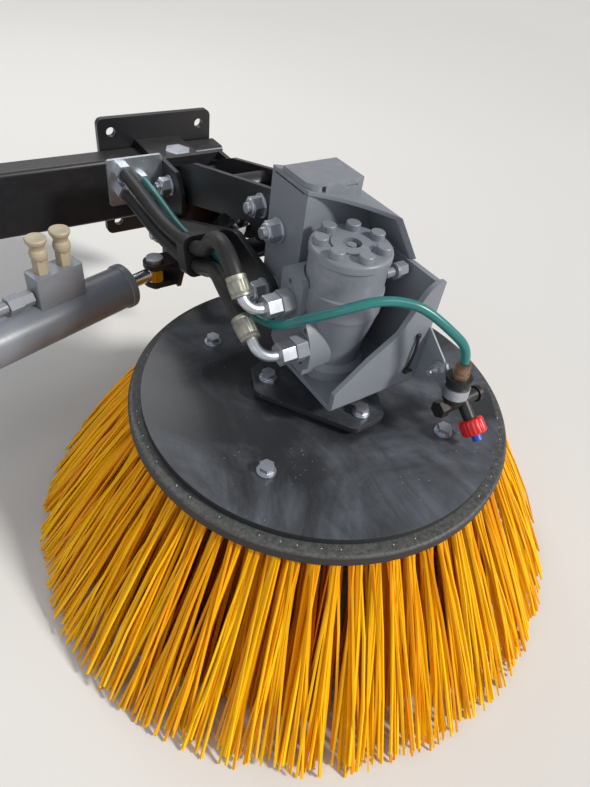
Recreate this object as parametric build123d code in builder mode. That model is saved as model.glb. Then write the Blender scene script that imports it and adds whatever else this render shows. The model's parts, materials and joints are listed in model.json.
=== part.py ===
"""Side broom of a street sweeper: a spinning gutter brush on a hydraulic motor, carried by a
parallel-link arm that lifts, swings on an upright pin and bolts to the chassis frame.
Millimetres. +X is the vehicle's forward direction, -Y points outboard, +Z is up.
The origin is the centre of the chassis bolt pattern, on the mounting face."""
import math
import os
from build123d import *

os.makedirs("parts", exist_ok=True)

# Chain of pivots, from the mounting face outboard to the motor's axis
swing_out = 107.0          # mounting face to the upright swing pin
root_out = 97.0            # swing pin to the links' root pivots
link_run = 336.0           # root pivots to head pivots, outboard
link_rise = 89.0           # root pivots to head pivots, upward
head_out = 112.0           # upper head pivot to the motor's axis
root_up = 69.0             # upper root pivot above the origin
head_drop = 208.0          # upper head pivot down to the brush ring's top
pivot_lean = 4.0           # lower pivots stand this far outboard of the upper ones
pivot_gap = 86.0           # height between upper and lower pivots
motor_shift = -31.5        # motor axis behind the arm's centre plane

# Brush
ring_radius = 274.0
ring_hole = 50.0
ring_chamfer = 3.0
ring_thick = 17.5
disc_radius = 256.5
disc_thick = 11.0
hub_plate_base = 19.0      # underside of the hub plate above the ring's top
hub_plate_thick = 9.0
hub_bolt_circle = 163.0
disc_bolt_circle = 364.0
tip_drop = 270.0           # bristle tips below the ring's top

# Arm plates
channel_half = 59.5        # half the width of head channel and swing bracket, outside
plate = 8.0
link_gap = 6.0             # side gap between a link plate and the wall next to it
roof_room = 17.0           # upper link to the channel's right side, under the sloping roof
lower_plate = 10.0
pin_radius = 10.0
pin_play = 0.05
washer_radius = 17.0
nut_radius = 15.0
thread_radius = 7.5
washer_play = 0.4          # a washer stops this far short of the moving plate

# Motor
motor_radius = 51.5
shelf_base = 52.0          # underside of the motor shelf above the ring's top
wall_y = -74.0             # inner face of the motor shelf's outboard wall
gearset_base = 191.0       # casting to gear set
cap_base = 231.0           # gear set to cap
motor_top = 242.0
port_face = 60.0           # port faces behind the motor's axis

# Swing cylinder and lift cylinder
swing_eye = (-91.5, -88.0, -103.0)     # rod eye from the swing pin's axis: x, y, and z in the row
swing_span = 470.0                     # pin to pin as parked
swing_yaw = 17.06                      # plan angle of the cylinder, degrees
barrel_radius = 38.0
rod_radius = 12.5
eye_drift = 4.0                        # play of a rod's eye around its pin

# Worked out places
swing_y = -swing_out
root_y = swing_y - root_out
root_z = root_up
head_y = root_y - link_run
head_z = root_z + link_rise
axis_x = motor_shift
axis_y = head_y - head_out
ring_top = head_z - head_drop
lower_root = (root_y - pivot_lean, root_z - pivot_gap)
lower_head = (head_y - pivot_lean, head_z - pivot_gap)
link_angle = math.degrees(math.atan2(link_rise, link_run))
link_length = math.hypot(link_run, link_rise)
shelf_top = shelf_base + plate
inner = channel_half - plate
link_outer = channel_half + link_gap + lower_plate      # outer faces of the lower link
channel_left = -channel_half - axis_x                   # channel's sides from the motor's axis
channel_right = channel_half - axis_x
eye_x = swing_eye[0]
eye_y = swing_y + swing_eye[1]
eye_z = swing_eye[2]
yaw = math.radians(swing_yaw)
rear_x = eye_x - swing_span * math.cos(yaw)
rear_y = eye_y - swing_span * math.sin(yaw)


def level(h):
    """Horizontal plane on the motor's axis, h above the brush ring's top."""
    return Plane(origin=(axis_x, axis_y, ring_top + h))


def side(x):
    """Upright plane across the vehicle; sketch axes are y and z from the motor axis and ring top."""
    return Plane(origin=(axis_x + x, axis_y, ring_top), x_dir=(0, 1, 0), z_dir=(1, 0, 0))


def front(y):
    """Upright plane along the vehicle, facing outboard; sketch axes are x and z."""
    return Plane(origin=(axis_x, axis_y + y, ring_top), x_dir=(1, 0, 0), z_dir=(0, -1, 0))


def along_link(x, pivot_y, pivot_z):
    """Plane of a link, sketch x from its root pivot towards the head, extruding towards -X."""
    run = math.radians(link_angle)
    return Plane(origin=(x, pivot_y, pivot_z), x_dir=(0, -math.cos(run), math.sin(run)), z_dir=(-1, 0, 0))


def save(name, part):
    part.label = name
    export_step(part, f"parts/{name}.step")


def tube_path(points, share=0.45):
    """Straight runs joined by tangent arcs, each as large as its two runs allow."""
    vectors = [Vector(*p) for p in points]
    radii = []
    for a, b, c in zip(vectors, vectors[1:], vectors[2:]):
        turn = math.radians((b - a).get_angle(c - b))
        radii.append(share * min((b - a).length, (c - b).length) / math.tan(turn / 2))
    return vectors, radii


def local(points):
    """Points given from the motor axis and the ring's top, in the row's frame."""
    return [(axis_x + x, axis_y + y, ring_top + z) for x, y, z in points]


# Chassis side: bolting plate, rail, knuckle ears and the cylinder's outrigger
bolt_half = 90.0
bolt_radius = 8.75
mount_size = 230.0
mount_thick = 12.0
rail_deep = 50.0
rail_high = 120.0
rail_wall = 6.0
rail_overhang = 38.0
rail_front = 120.0
ear_thick = 12.0
ear_radius = 45.0
swing_pin_radius = 15.0
rail_face = -mount_thick - rail_deep

with BuildPart() as chassis_plate:
    with BuildSketch(Plane.XZ) as plate_outline:
        RectangleRounded(mount_size, mount_size, 12)
        with GridLocations(2 * bolt_half, 2 * bolt_half, 2, 2):
            Circle(bolt_radius, mode=Mode.SUBTRACT)
    extrude(amount=mount_thick)
save("chassis_plate", chassis_plate.part)

with BuildPart() as chassis_rail:
    with BuildSketch(Plane.YZ.offset(rear_x - rail_overhang)) as rail_section:
        with Locations((-mount_thick - rail_deep / 2, 0)):
            RectangleRounded(rail_deep, rail_high, 8)
            RectangleRounded(rail_deep - 2 * rail_wall, rail_high - 2 * rail_wall, 3, mode=Mode.SUBTRACT)
    extrude(amount=rail_front - rear_x + rail_overhang)
save("chassis_rail", chassis_rail.part)

for name, base in (("knuckle_ear_upper", rail_high / 2), ("knuckle_ear_lower", -rail_high / 2 - ear_thick)):
    with BuildPart() as ear:
        with BuildSketch(Plane.XY.offset(base)):
            with Locations((0, swing_y)):
                Circle(ear_radius)
            with Locations((0, (swing_y - mount_thick) / 2)):
                Rectangle(2 * ear_radius, -swing_y - mount_thick)
            with Locations((0, swing_y)):
                Circle(swing_pin_radius + pin_play, mode=Mode.SUBTRACT)
        extrude(amount=ear_thick)
    save(name, ear.part)

with BuildPart() as swing_pin:
    pin_foot = -rail_high / 2 - ear_thick - 16
    with BuildSketch(Plane.XY.offset(pin_foot)):
        with Locations((0, swing_y)):
            Circle(swing_pin_radius)
    extrude(amount=rail_high + 2 * ear_thick + 16)
    with BuildSketch(Plane.XY.offset(rail_high / 2 + ear_thick)):
        with Locations((0, swing_y)):
            RegularPolygon(24, 6)
    extrude(amount=14)
    with BuildSketch(Plane.XY.offset(pin_foot + 4)):
        with Locations((0, swing_y)):
            RegularPolygon(23, 6)
    extrude(amount=12)
save("swing_pin", swing_pin.part)

eye_thick = 25.0
lug_gap = 1.5
lug_thick = 10.0
lug_radius = 22.0

with BuildPart() as cylinder_outrigger:
    reach_mid = (rail_face + rear_y) / 2
    for z in (eye_z + eye_thick / 2 + lug_gap, eye_z - eye_thick / 2 - lug_gap - lug_thick):
        with BuildSketch(Plane.XY.offset(z)):
            with Locations((rear_x, rear_y)):
                Circle(lug_radius)
            with Locations((rear_x - 8, (rear_y + rail_face + rail_deep) / 2)):
                Rectangle(2 * lug_radius - 16, rail_face + rail_deep - rear_y)
            with Locations((rear_x, rear_y)):
                Circle(pin_radius + pin_play, mode=Mode.SUBTRACT)
        extrude(amount=lug_thick)
    with BuildSketch(Plane.YZ.offset(rear_x - plate / 2)):
        Polygon((rail_face, -rail_high / 2), (rail_face + rail_deep, -rail_high / 2),
                (rail_face + rail_deep, eye_z - eye_thick / 2 - lug_gap - lug_thick),
                (rear_y + 45, eye_z - eye_thick / 2 - lug_gap - lug_thick),
                (rear_y + 45, eye_z + eye_thick / 2 + lug_gap + lug_thick), align=None)
    extrude(amount=plate)
save("cylinder_outrigger", cylinder_outrigger.part)

with BuildPart() as rear_pin:
    pin_low = eye_z - eye_thick / 2 - lug_gap - lug_thick
    with BuildSketch(Plane.XY.offset(pin_low - 10)):
        with Locations((rear_x, rear_y)):
            Circle(pin_radius)
    extrude(amount=eye_thick + 2 * lug_gap + 2 * lug_thick + 10)
    with BuildSketch(Plane.XY.offset(eye_z + eye_thick / 2 + lug_gap + lug_thick)):
        with Locations((rear_x, rear_y)):
            Circle(16)
    extrude(amount=8)
save("rear_pin", rear_pin.part)

# Swing arm: bracket with post, side plates and lugs
post_radius = 34.0
ear_clearance = 0.5
web_back = swing_y - ear_radius - 6
web_thick = 10.0
bracket_top = 100.0
bracket_foot = eye_z - eye_thick / 2 - lug_gap - lug_thick
bracket_front = -247.0
lift_base = (-190.0, -72.0)
lift_eye_along = 170.0
lift_eye_below = 25.0
lift_eye_half = 12.0

with BuildPart() as swing_bracket:
    with BuildSketch(Plane.XY.offset(-rail_high / 2 + ear_clearance)):
        with Locations((0, swing_y)):
            Circle(post_radius)
    extrude(amount=rail_high - 2 * ear_clearance)
    with BuildSketch(Plane.XY.offset(-rail_high / 2 + 6)):
        with Locations((0, (swing_y + web_back) / 2)):
            Rectangle(2 * post_radius - 8, swing_y - web_back)
    extrude(amount=rail_high - 12)
    with BuildSketch(Plane.XZ.offset(-web_back)):
        with Locations((0, (bracket_top + bracket_foot) / 2)):
            Rectangle(2 * channel_half, bracket_top - bracket_foot)
    extrude(amount=web_thick)
    for x in (-channel_half, channel_half - plate):
        with BuildSketch(Plane.YZ.offset(x)):
            Polygon((web_back, bracket_top), (bracket_front + 22, bracket_top), (bracket_front, bracket_top - 30),
                    (bracket_front, -70), (bracket_front + 22, bracket_foot), (web_back, bracket_foot), align=None)
            with Locations((root_y, root_z), lower_root):
                Circle(pin_radius + pin_play, mode=Mode.SUBTRACT)
        extrude(amount=plate)
    for z in (eye_z + eye_thick / 2 + lug_gap, eye_z - eye_thick / 2 - lug_gap - lug_thick):
        with BuildSketch(Plane.XY.offset(z)):
            with Locations((eye_x, eye_y)):
                Circle(lug_radius)
            with Locations(((eye_x - channel_half) / 2, eye_y)):
                Rectangle(-channel_half - eye_x, 2 * lug_radius)
        extrude(amount=lug_thick)
    for x in (-lift_eye_half - 2 - plate, lift_eye_half + 2):
        with BuildSketch(Plane.YZ.offset(x)):
            with Locations(lift_base):
                Circle(18)
            with Locations(((lift_base[0] + web_back - web_thick) / 2, lift_base[1])):
                Rectangle(web_back - web_thick - lift_base[0], 36)
            with Locations(lift_base):
                Circle(pin_radius + pin_play, mode=Mode.SUBTRACT)
        extrude(amount=plate)
    with BuildSketch(Plane.XY.offset(-rail_high / 2)):
        with Locations((0, swing_y)):
            Circle(swing_pin_radius + pin_play)
    extrude(amount=rail_high, mode=Mode.SUBTRACT)
    with BuildSketch(Plane.XY.offset(bracket_foot)):
        with Locations((eye_x, eye_y)):
            Circle(pin_radius + pin_play)
    extrude(amount=eye_thick + 2 * lug_gap + 2 * lug_thick, mode=Mode.SUBTRACT)
save("swing_bracket", swing_bracket.part)

with BuildPart() as eye_pin:
    with BuildSketch(Plane.XY.offset(bracket_foot - 10)):
        with Locations((eye_x, eye_y)):
            Circle(pin_radius)
    extrude(amount=eye_thick + 2 * lug_gap + 2 * lug_thick + 10)
    with BuildSketch(Plane.XY.offset(bracket_foot + eye_thick + 2 * lug_gap + 2 * lug_thick)):
        with Locations((eye_x, eye_y)):
            Circle(16)
    extrude(amount=8)
save("eye_pin", eye_pin.part)

with BuildPart() as lift_base_pin:
    with BuildSketch(Plane.YZ.offset(-lift_eye_half - 2 - plate - 6)):
        with Locations(lift_base):
            Circle(pin_radius)
    extrude(amount=2 * (lift_eye_half + 2 + plate + 6))
save("lift_base_pin", lift_base_pin.part)


def cross_pin(name, pivot, low, high, walls):
    """Bolt across the vehicle with a head and nut outside it and washers in the gaps beside its walls."""
    with BuildPart() as pin:
        with BuildSketch(Plane.YZ.offset(low - 28)):
            with Locations(pivot):
                Circle(thread_radius)
        extrude(amount=28)
        with BuildSketch(Plane.YZ.offset(low)):
            with Locations(pivot):
                Circle(pin_radius)
        extrude(amount=high - low + 4)
        with BuildSketch(Plane.YZ.offset(high)):
            with Locations(pivot):
                RegularPolygon(nut_radius, 6)
        extrude(amount=13)
        with BuildSketch(Plane.YZ.offset(low - 3)):
            with Locations(pivot):
                Circle(washer_radius)
        extrude(amount=3)
        with BuildSketch(Plane.YZ.offset(low - 19)):
            with Locations(pivot):
                RegularPolygon(nut_radius, 6)
        extrude(amount=16)
        for start, end in walls:
            with BuildSketch(Plane.YZ.offset(start)):
                with Locations(pivot):
                    Circle(washer_radius)
            extrude(amount=end - start)
    save(name, pin.part)


upper_left = -inner + link_gap
upper_right = inner - roof_room
left_washer = (-inner, upper_left - washer_play)
cross_pin("root_pin_upper", (root_y, root_z), -channel_half, channel_half,
          (left_washer, (upper_right + washer_play, inner)))
cross_pin("head_pin_upper", (head_y, head_z), -channel_half, channel_half,
          (left_washer, (upper_right + washer_play, inner)))


def stub_pins(name, pivot):
    """Pair of short bolts through a wall and the lower link's plate outside it."""
    with BuildPart() as pins:
        outer = link_outer
        for sign in (-1, 1):
            pieces = (
                (outer + washer_play, outer + 3, washer_radius, False),
                (outer + 3, outer + 19, nut_radius, True),
                (outer + 19, outer + 27, thread_radius, False),
                (inner - 12, inner, nut_radius, True),
                (inner, outer + 3, pin_radius, False),
                (channel_half, channel_half + link_gap - washer_play, washer_radius, False),
            )
            for start, end, radius, hexagonal in pieces:
                with BuildSketch(Plane.YZ.offset(start if sign > 0 else -end)):
                    with Locations(pivot):
                        if hexagonal:
                            RegularPolygon(radius, 6)
                        else:
                            Circle(radius)
                extrude(amount=end - start)
    save(name, pins.part)


stub_pins("root_pins_lower", lower_root)
stub_pins("head_pins_lower", lower_head)

# Lower link: cranked plates joined by a cross tube
knee = (265.0, 32.0)
cross_tube = (260.0, 29.5)
lower_rounds = ((0.0, 0.0, 30.0), (knee[0], knee[1], 31.0), (link_length, 0.0, 22.0))
with BuildPart() as lower_link:
    for x in (-channel_half - link_gap, link_outer):
        for a, b in zip(lower_rounds, lower_rounds[1:]):
            with BuildSketch(along_link(x, *lower_root)):
                for s, t, r in (a, b):
                    with Locations((s, t)):
                        Circle(r)
                make_hull()
            extrude(amount=lower_plate)
    with BuildSketch(along_link(channel_half + link_gap, *lower_root)):
        with Locations(cross_tube):
            Circle(15)
    extrude(amount=2 * (channel_half + link_gap))
    for s in (0, link_length):
        with BuildSketch(along_link(link_outer, *lower_root)):
            with Locations((s, 0)):
                Circle(pin_radius + pin_play)
        extrude(amount=2 * link_outer, mode=Mode.SUBTRACT)
save("lower_link", lower_link.part)

# Upper link: straight plates with a deep lobe at the head, joined by cross tubes
upper_lobe = 36.0
upper_root_round = 30.0
upper_top = 43.0
lift_eye = (lift_eye_along, -lift_eye_below)
stop_spot = (link_length - 64, 17)
with BuildPart() as upper_link:
    for x in (upper_left + plate, upper_right):
        with BuildSketch(along_link(x, root_y, root_z)):
            Circle(upper_root_round)
            with Locations((link_length, 0)):
                Circle(upper_lobe)
            Polygon((0, upper_root_round), (70, upper_top), (link_length - 30, upper_top), (link_length, upper_lobe),
                    (link_length, -upper_lobe), (link_length - 85, -upper_lobe), (link_length - 105, -14),
                    (0, -upper_root_round), align=None)
        extrude(amount=plate)
    for s, t, r in ((0, 0, 22), (link_length, 0, 22), (lift_eye_along, 20, 18)):
        with BuildSketch(along_link(upper_right, root_y, root_z)):
            with Locations((s, t)):
                Circle(r)
        extrude(amount=upper_right - upper_left)
    for x in (-lift_eye_half - 2, lift_eye_half + 2 + plate):
        with BuildSketch(along_link(x, root_y, root_z)):
            with Locations(lift_eye):
                Circle(18)
            with Locations((lift_eye_along, 0)):
                Rectangle(36, 50)
        extrude(amount=plate)
    for spot in ((0, 0), (link_length, 0), lift_eye, stop_spot):
        with BuildSketch(along_link(upper_right, root_y, root_z)):
            with Locations(spot):
                Circle(pin_radius + pin_play)
        extrude(amount=upper_right - upper_left, mode=Mode.SUBTRACT)
save("upper_link", upper_link.part)

# Head: channel over the motor's inboard side, its roof and lid, and the motor's shelf
channel_web = 61.0
channel_back = 140.0
roof_top = (284.0, 263.0, 215.0)        # roof's top at the left side, at the fold and at the right side
roof_thick = (6.0, 5.7, 2.2)
fold_x = channel_right - 19
roof_nose = -3.0                        # fold's outboard end
slope_nose = -26.0
tall_side = 232.0                       # right side's height beside the arm
low_side = roof_top[2] - 2.5
with BuildPart() as head_channel:
    flange_outline = ((channel_web, shelf_top), (channel_web + 14, shelf_top), (channel_back, 95))
    left_top = roof_top[0] - roof_thick[0] - 2.2
    with BuildSketch(side(channel_left)):
        Polygon(*flange_outline, (channel_back, left_top), (channel_web, left_top), align=None)
    extrude(amount=plate)
    with BuildSketch(side(channel_right - plate)):
        Polygon((wall_y, shelf_top), *flange_outline, (channel_back, tall_side), (channel_web + plate, tall_side),
                (channel_web + plate, low_side), (wall_y, low_side), align=None)
    extrude(amount=plate)
    with BuildSketch(front(channel_web + plate)):
        Polygon((channel_left, shelf_top), (channel_right, shelf_top), (channel_right, low_side),
                (channel_right - 5.6, low_side), (fold_x - 4.3, roof_top[1] - roof_thick[1]),
                (channel_left, roof_top[0] - roof_thick[0] - 0.4), align=None)
    extrude(amount=plate)
    for x in (channel_left, channel_right - plate):
        for y, z in ((head_out, head_drop), (head_out - pivot_lean, head_drop - pivot_gap)):
            with BuildSketch(side(x)):
                with Locations((y, z)):
                    Circle(pin_radius + pin_play)
            extrude(amount=plate, mode=Mode.SUBTRACT)
save("head_channel", head_channel.part)

with BuildPart() as channel_roof:
    with BuildSketch(front(channel_back)):
        Polygon((channel_left, roof_top[0]), (fold_x, roof_top[1]), (channel_right, roof_top[2]),
                (channel_right - 5.6, roof_top[2] - roof_thick[2]), (fold_x - 4.3, roof_top[1] - roof_thick[1] + 0.3),
                (channel_left, roof_top[0] - roof_thick[0]), align=None)
    extrude(amount=channel_back - slope_nose + 4)
    with BuildSketch(level(low_side - 12)):
        with BuildLine():
            nose_mid = ((channel_left + fold_x) / 2 + 12, (channel_web + roof_nose) / 2 + 7)
            ThreePointArc((channel_left, channel_web), nose_mid, (fold_x, roof_nose))
            Polyline((fold_x, roof_nose), (channel_right, slope_nose), (channel_right, channel_web + plate),
                     (fold_x, channel_web + plate), (fold_x, channel_back), (channel_left, channel_back),
                     (channel_left, channel_web))
        make_face()
    extrude(amount=90, mode=Mode.INTERSECT)
save("channel_roof", channel_roof.part)

lid_top = 291.0
lid_left = channel_left + 1
lid_right = 54.0
lid_back = 119.0
lid_long = 59.0
with BuildPart() as channel_lid:
    slope = (roof_top[0] - roof_top[1]) / (fold_x - channel_left)
    with BuildSketch(front(lid_back)):
        Polygon((lid_left, lid_top), (lid_right, lid_top), (lid_right, roof_top[1] + slope * (fold_x - lid_right)),
                (lid_left, roof_top[0] - slope * (lid_left - channel_left)), align=None)
    extrude(amount=lid_long)
    fillet(channel_lid.edges().filter_by(Axis.Z).group_by(Axis.Y)[0].sort_by(Axis.X)[0], 14)
    lid_front = lid_back - lid_long
    for spot, wide, high, deep in (((-6, 283), 6, 8, 6), ((37, 282.5), 16, 2, 1.5)):
        with BuildSketch(front(lid_front + deep)):
            with Locations(spot):
                Rectangle(wide, high)
        extrude(amount=deep, mode=Mode.SUBTRACT)
save("channel_lid", channel_lid.part)

pilot_radius = 40.0
shelf_left = -53.0
with BuildPart() as motor_bracket:
    with BuildSketch(level(shelf_base)):
        Polygon((shelf_left, wall_y - plate), (channel_right, wall_y - plate), (channel_right, channel_web + plate),
                (channel_left, channel_web + plate), (shelf_left, 30), align=None)
        Circle(pilot_radius + pin_play, mode=Mode.SUBTRACT)
    extrude(amount=plate)
    with BuildSketch(front(wall_y)):
        Polygon((shelf_left, shelf_base), (shelf_left, 84), (-6, 124), (35, 152), (58, 195), (68, 210), (79, 216),
                (channel_right, 216), (channel_right, shelf_base), align=None)
    extrude(amount=plate)
    fillet(motor_bracket.edges().filter_by(Axis.X).group_by(Axis.Y)[0].sort_by(Axis.Z)[0], 9)
save("motor_bracket", motor_bracket.part)

# Orbital motor
motor_shaft = 16.0
upper_port = (27.0, 160.0)
lower_port = (-14.0, 116.0)
port_screws = ((31, 187), (-13, 140), (-13, 89.5))
motor_axis = Axis((axis_x, axis_y, ring_top), (0, 0, 1))
with BuildPart() as motor_housing:
    with BuildSketch(front(0)):
        Polygon((motor_shaft + pin_play, shelf_base), (pilot_radius, shelf_base), (pilot_radius, shelf_top),
                (46, shelf_top), (46, 76), (39, 84), (41, 110), (48, 145), (motor_radius - 1, 158),
                (motor_radius + 0.5, 162), (motor_radius + 0.5, gearset_base - 2), (motor_radius - 1.5, gearset_base),
                (0, gearset_base), (0, 110), (motor_shaft + pin_play, 110), align=None)
    revolve(axis=motor_axis)
    with BuildSketch(side(-port_face)):
        with Locations((upper_port[0], upper_port[1] + 9)):
            RectangleRounded(46, 62, 8)
    extrude(amount=port_face - 20)
    with BuildSketch(side(-port_face)):
        with BuildLine():
            ThreePointArc((-10, 151), (-25, 131), (-31, 100))
            Polyline((-31, 100), (-30, 90), (-22, 84), (12, 84), (12, 151), (-10, 151))
        make_face()
    extrude(amount=port_face - 20)
    with BuildSketch(side(-port_face)):
        Polygon((-20, 72), (-18, 138), (-5, 150), (34, 122), (56, 97), (58, 82), (45, 72), align=None)
    extrude(amount=port_face - 31)
    with BuildSketch(level(gearset_base)):
        Circle(motor_radius + 0.1)
    extrude(amount=40, mode=Mode.SUBTRACT)
    with BuildSketch(side(-port_face)):
        with Locations(*port_screws):
            Circle(3.4)
    extrude(amount=12, mode=Mode.SUBTRACT)
save("motor_housing", motor_housing.part)

gearset_radius = motor_radius - 1.8
with BuildPart() as motor_gearset:
    with BuildSketch(level(gearset_base)):
        Circle(gearset_radius)
    extrude(amount=cap_base - gearset_base)
    with BuildSketch(level(cap_base - 1.5)):
        Circle(motor_radius)
        Circle(gearset_radius - 1, mode=Mode.SUBTRACT)
    extrude(amount=1.5, mode=Mode.SUBTRACT)
save("motor_gearset", motor_gearset.part)

cap_bolt_circle = 77.0
with BuildPart() as motor_cap:
    with BuildSketch(level(cap_base)):
        Circle(motor_radius)
    extrude(amount=motor_top - cap_base)
    fillet(motor_cap.edges().group_by(Axis.Z)[-1], 4)
    with BuildSketch(level(motor_top)):
        with PolarLocations(cap_bolt_circle / 2, 7):
            Circle(9.4)
    extrude(amount=9)
    chamfer(motor_cap.edges().group_by(Axis.Z)[-1], 1)
    with BuildSketch(level(motor_top)):
        Circle(26)
    extrude(amount=2)
    with BuildSketch(level(motor_top - 8)):
        Circle(12)
    extrude(amount=10, mode=Mode.SUBTRACT)
    with BuildSketch(level(motor_top - 9)):
        RegularPolygon(6.5, 6)
    extrude(amount=9)
save("motor_cap", motor_cap.part)

# Case drain fitting, on the motor's side behind the wall
drain_at = (-21.0, 202.0)
drain_end = channel_right - plate - 5
with BuildPart() as drain_plug:
    drain_steps = (
        (motor_radius - 6, drain_end - 18, 6.5, 0),
        (drain_end - 18, drain_end - 14, 10.5, 0),
        (drain_end - 14, drain_end, 10.5, 6),
    )
    for start, end, wide, sides in drain_steps:
        with BuildSketch(side(start)):
            with Locations(drain_at):
                if sides:
                    RegularPolygon(wide, sides)
                else:
                    Circle(wide)
        extrude(amount=end - start)
    with BuildSketch(level(gearset_base)):
        Circle(gearset_radius)
    extrude(amount=cap_base - gearset_base, mode=Mode.SUBTRACT)
save("drain_plug", drain_plug.part)

# Ports, elbows, hoses and the water tube
hose_radius = 11.0
tube_radius = 6.0
elbow_radius = 7.0
with BuildPart() as port_adapters:
    for port in (upper_port, lower_port):
        with BuildSketch(side(-port_face - 18)):
            with Locations(port):
                RegularPolygon(18, 6)
        extrude(amount=18)
save("port_adapters", port_adapters.part)

elbow_x = -121.5
elbow_rows = (
    ("elbow_upper", upper_port, 44.5, 20, 46),
    ("elbow_lower", lower_port, 24.5, 30, 62),
)
nut_start = -port_face - 18
for name, port, rise, crimp_start, crimp_end in elbow_rows:
    corner = Vector(axis_x + elbow_x, axis_y + port[0], ring_top + port[1])
    crimp_run = Vector(0, math.cos(math.radians(rise)), math.sin(math.radians(rise)))
    with BuildPart() as elbow:
        with BuildSketch(side(nut_start - 20)):
            with Locations(port):
                RegularPolygon(15.6, 6)
        extrude(amount=20)
        with BuildLine() as bend:
            FilletPolyline((axis_x + nut_start - 20, corner.Y, corner.Z), corner,
                           corner + crimp_run * (crimp_start + 4), radius=20)
        with BuildSketch(Plane(origin=bend.line @ 0, z_dir=bend.line % 0)):
            Circle(elbow_radius)
        sweep()
        with BuildSketch(Plane(origin=corner + crimp_run * crimp_start, z_dir=crimp_run)):
            Circle(12.5)
        extrude(amount=crimp_end - crimp_start)
    save(name, elbow.part)


def hose(name, points, radius):
    """Round line along straight runs and tangent arcs."""
    vectors, radii = tube_path(points)
    with BuildPart() as line:
        with BuildLine() as route:
            FilletPolyline(*vectors, radius=radii)
        with BuildSketch(Plane(origin=vectors[0], z_dir=vectors[1] - vectors[0])):
            Circle(radius)
        sweep()
    save(name, line.part)


clamp_out = 205.0
clamp_in = 230.0
link_side = -link_outer - axis_x        # lower link's outer face on the hoses' side
clamp_block = (link_side - 74, link_side)
hose_x = link_side - 56
tube_x = link_side - 28
tube_z = 128.5
bulkhead_y = 480.0
line_slope = math.tan(math.radians(link_angle))
clamp_mid = (clamp_out + clamp_in) / 2
bulkhead_deep = 6.0
bulkhead_tube_z = 122.0
# Each hose: its elbow, run on to the crest, middle point, height in the clamp and height at the bulkhead
hose_rows = (
    ("hose_upper", elbow_rows[0], 36, (-112, 136, 203), 142, 140),
    ("hose_lower", elbow_rows[1], 42, (-104, 140, 150), 115, 105),
)
for name, (elbow_name, port, rise, crimp_start, crimp_end), onward, middle, z, bulkhead_z in hose_rows:
    lift = math.radians(rise)
    start, crest = ((elbow_x, port[0] + math.cos(lift) * s, port[1] + math.sin(lift) * s)
                    for s in (crimp_end, crimp_end + onward))
    clamp_near = (hose_x, clamp_out - 24, z + 36.5 * line_slope)
    clamp_at = (hose_x, clamp_mid, z)
    hose(name + "_front", local((start, crest, middle, clamp_near, clamp_at)), hose_radius)
    clamp_far = (hose_x, clamp_in + 60, z - 72.5 * line_slope)
    rear_points = (clamp_at, clamp_far, (hose_x, bulkhead_y - 50, bulkhead_z), (hose_x, bulkhead_y - 16, bulkhead_z))
    hose(name + "_rear", local(rear_points), hose_radius)

feed_end = (95, -144, 134)
tube_route = (feed_end, (95, -142.2, 154), (68, -125, 181), (39, -101, 205), (14, -85, 211), (-14, -74, 212),
              (-42, -64, 204), (-62, -47, 189), (-78, -26, 172), (-85, -3, 150), (-90, 24, 133.5), (-95, 62, 127),
              (-90, 118, 138), (tube_x, clamp_out - 24, tube_z + 36.5 * line_slope), (tube_x, clamp_mid, tube_z))
hose("water_tube_front", local(tube_route), tube_radius)
rear_points = ((tube_x, clamp_mid, tube_z), (tube_x, clamp_in + 60, tube_z - 72.5 * line_slope),
               (tube_x + 6, bulkhead_y - 50, bulkhead_tube_z), (tube_x + 6, bulkhead_y - 12, bulkhead_tube_z))
hose("water_tube_rear", local(rear_points), tube_radius)

link_turn = math.radians(link_angle)
clamp_plane = Plane(origin=(axis_x, axis_y + clamp_mid, ring_top + tube_z), x_dir=(1, 0, 0),
                    z_dir=(0, -math.cos(link_turn), math.sin(link_turn)))
with BuildPart() as hose_clamp:
    with BuildSketch(clamp_plane):
        with Locations(((clamp_block[0] + clamp_block[1]) / 2, 0)):
            RectangleRounded(clamp_block[1] - clamp_block[0], 60, 14)
        for x, z, r in ((hose_x, 142, hose_radius), (hose_x, 115, hose_radius), (tube_x, tube_z, tube_radius)):
            with Locations((x, (z - tube_z) * math.cos(link_turn))):
                Circle(r + 0.3, mode=Mode.SUBTRACT)
    extrude(amount=(clamp_in - clamp_out) / 2, both=True)
save("hose_clamp", hose_clamp.part)

with BuildPart() as hose_bulkhead:
    with BuildSketch(front(bulkhead_y + bulkhead_deep)):
        with Locations(((channel_left + hose_x - 25) / 2, 120)):
            RectangleRounded(channel_left - hose_x + 25, 80, 4)
    extrude(amount=bulkhead_deep)
    fittings = ((hose_x, 140, 16, 15.6), (hose_x, 105, 16, 15.6), (tube_x + 6, bulkhead_tube_z, 12, 11))
    for x, z, deep, across in fittings:
        with BuildSketch(front(bulkhead_y)):
            with Locations((x, z)):
                RegularPolygon(across, 6)
        extrude(amount=deep)
        with BuildSketch(front(bulkhead_y + bulkhead_deep + 14)):
            with Locations((x, z)):
                RegularPolygon(across, 6)
        extrude(amount=14)
save("hose_bulkhead", hose_bulkhead.part)

# Water nozzle, held by a clip on its gusset
gusset_thick = 3.0
clip_bolt = (-118.0, 106.0)
clip_bore = 15.0
with BuildPart() as nozzle_bracket:
    with BuildSketch(side(channel_right - gusset_thick)):
        Polygon((wall_y - plate, 148), (-119, 121), (-128, 108), (-128, 97), (-122, 86), (wall_y - plate, 60),
                align=None)
        with Locations(clip_bolt):
            Circle(4.3, mode=Mode.SUBTRACT)
    extrude(amount=gusset_thick)
save("nozzle_bracket", nozzle_bracket.part)

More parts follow.
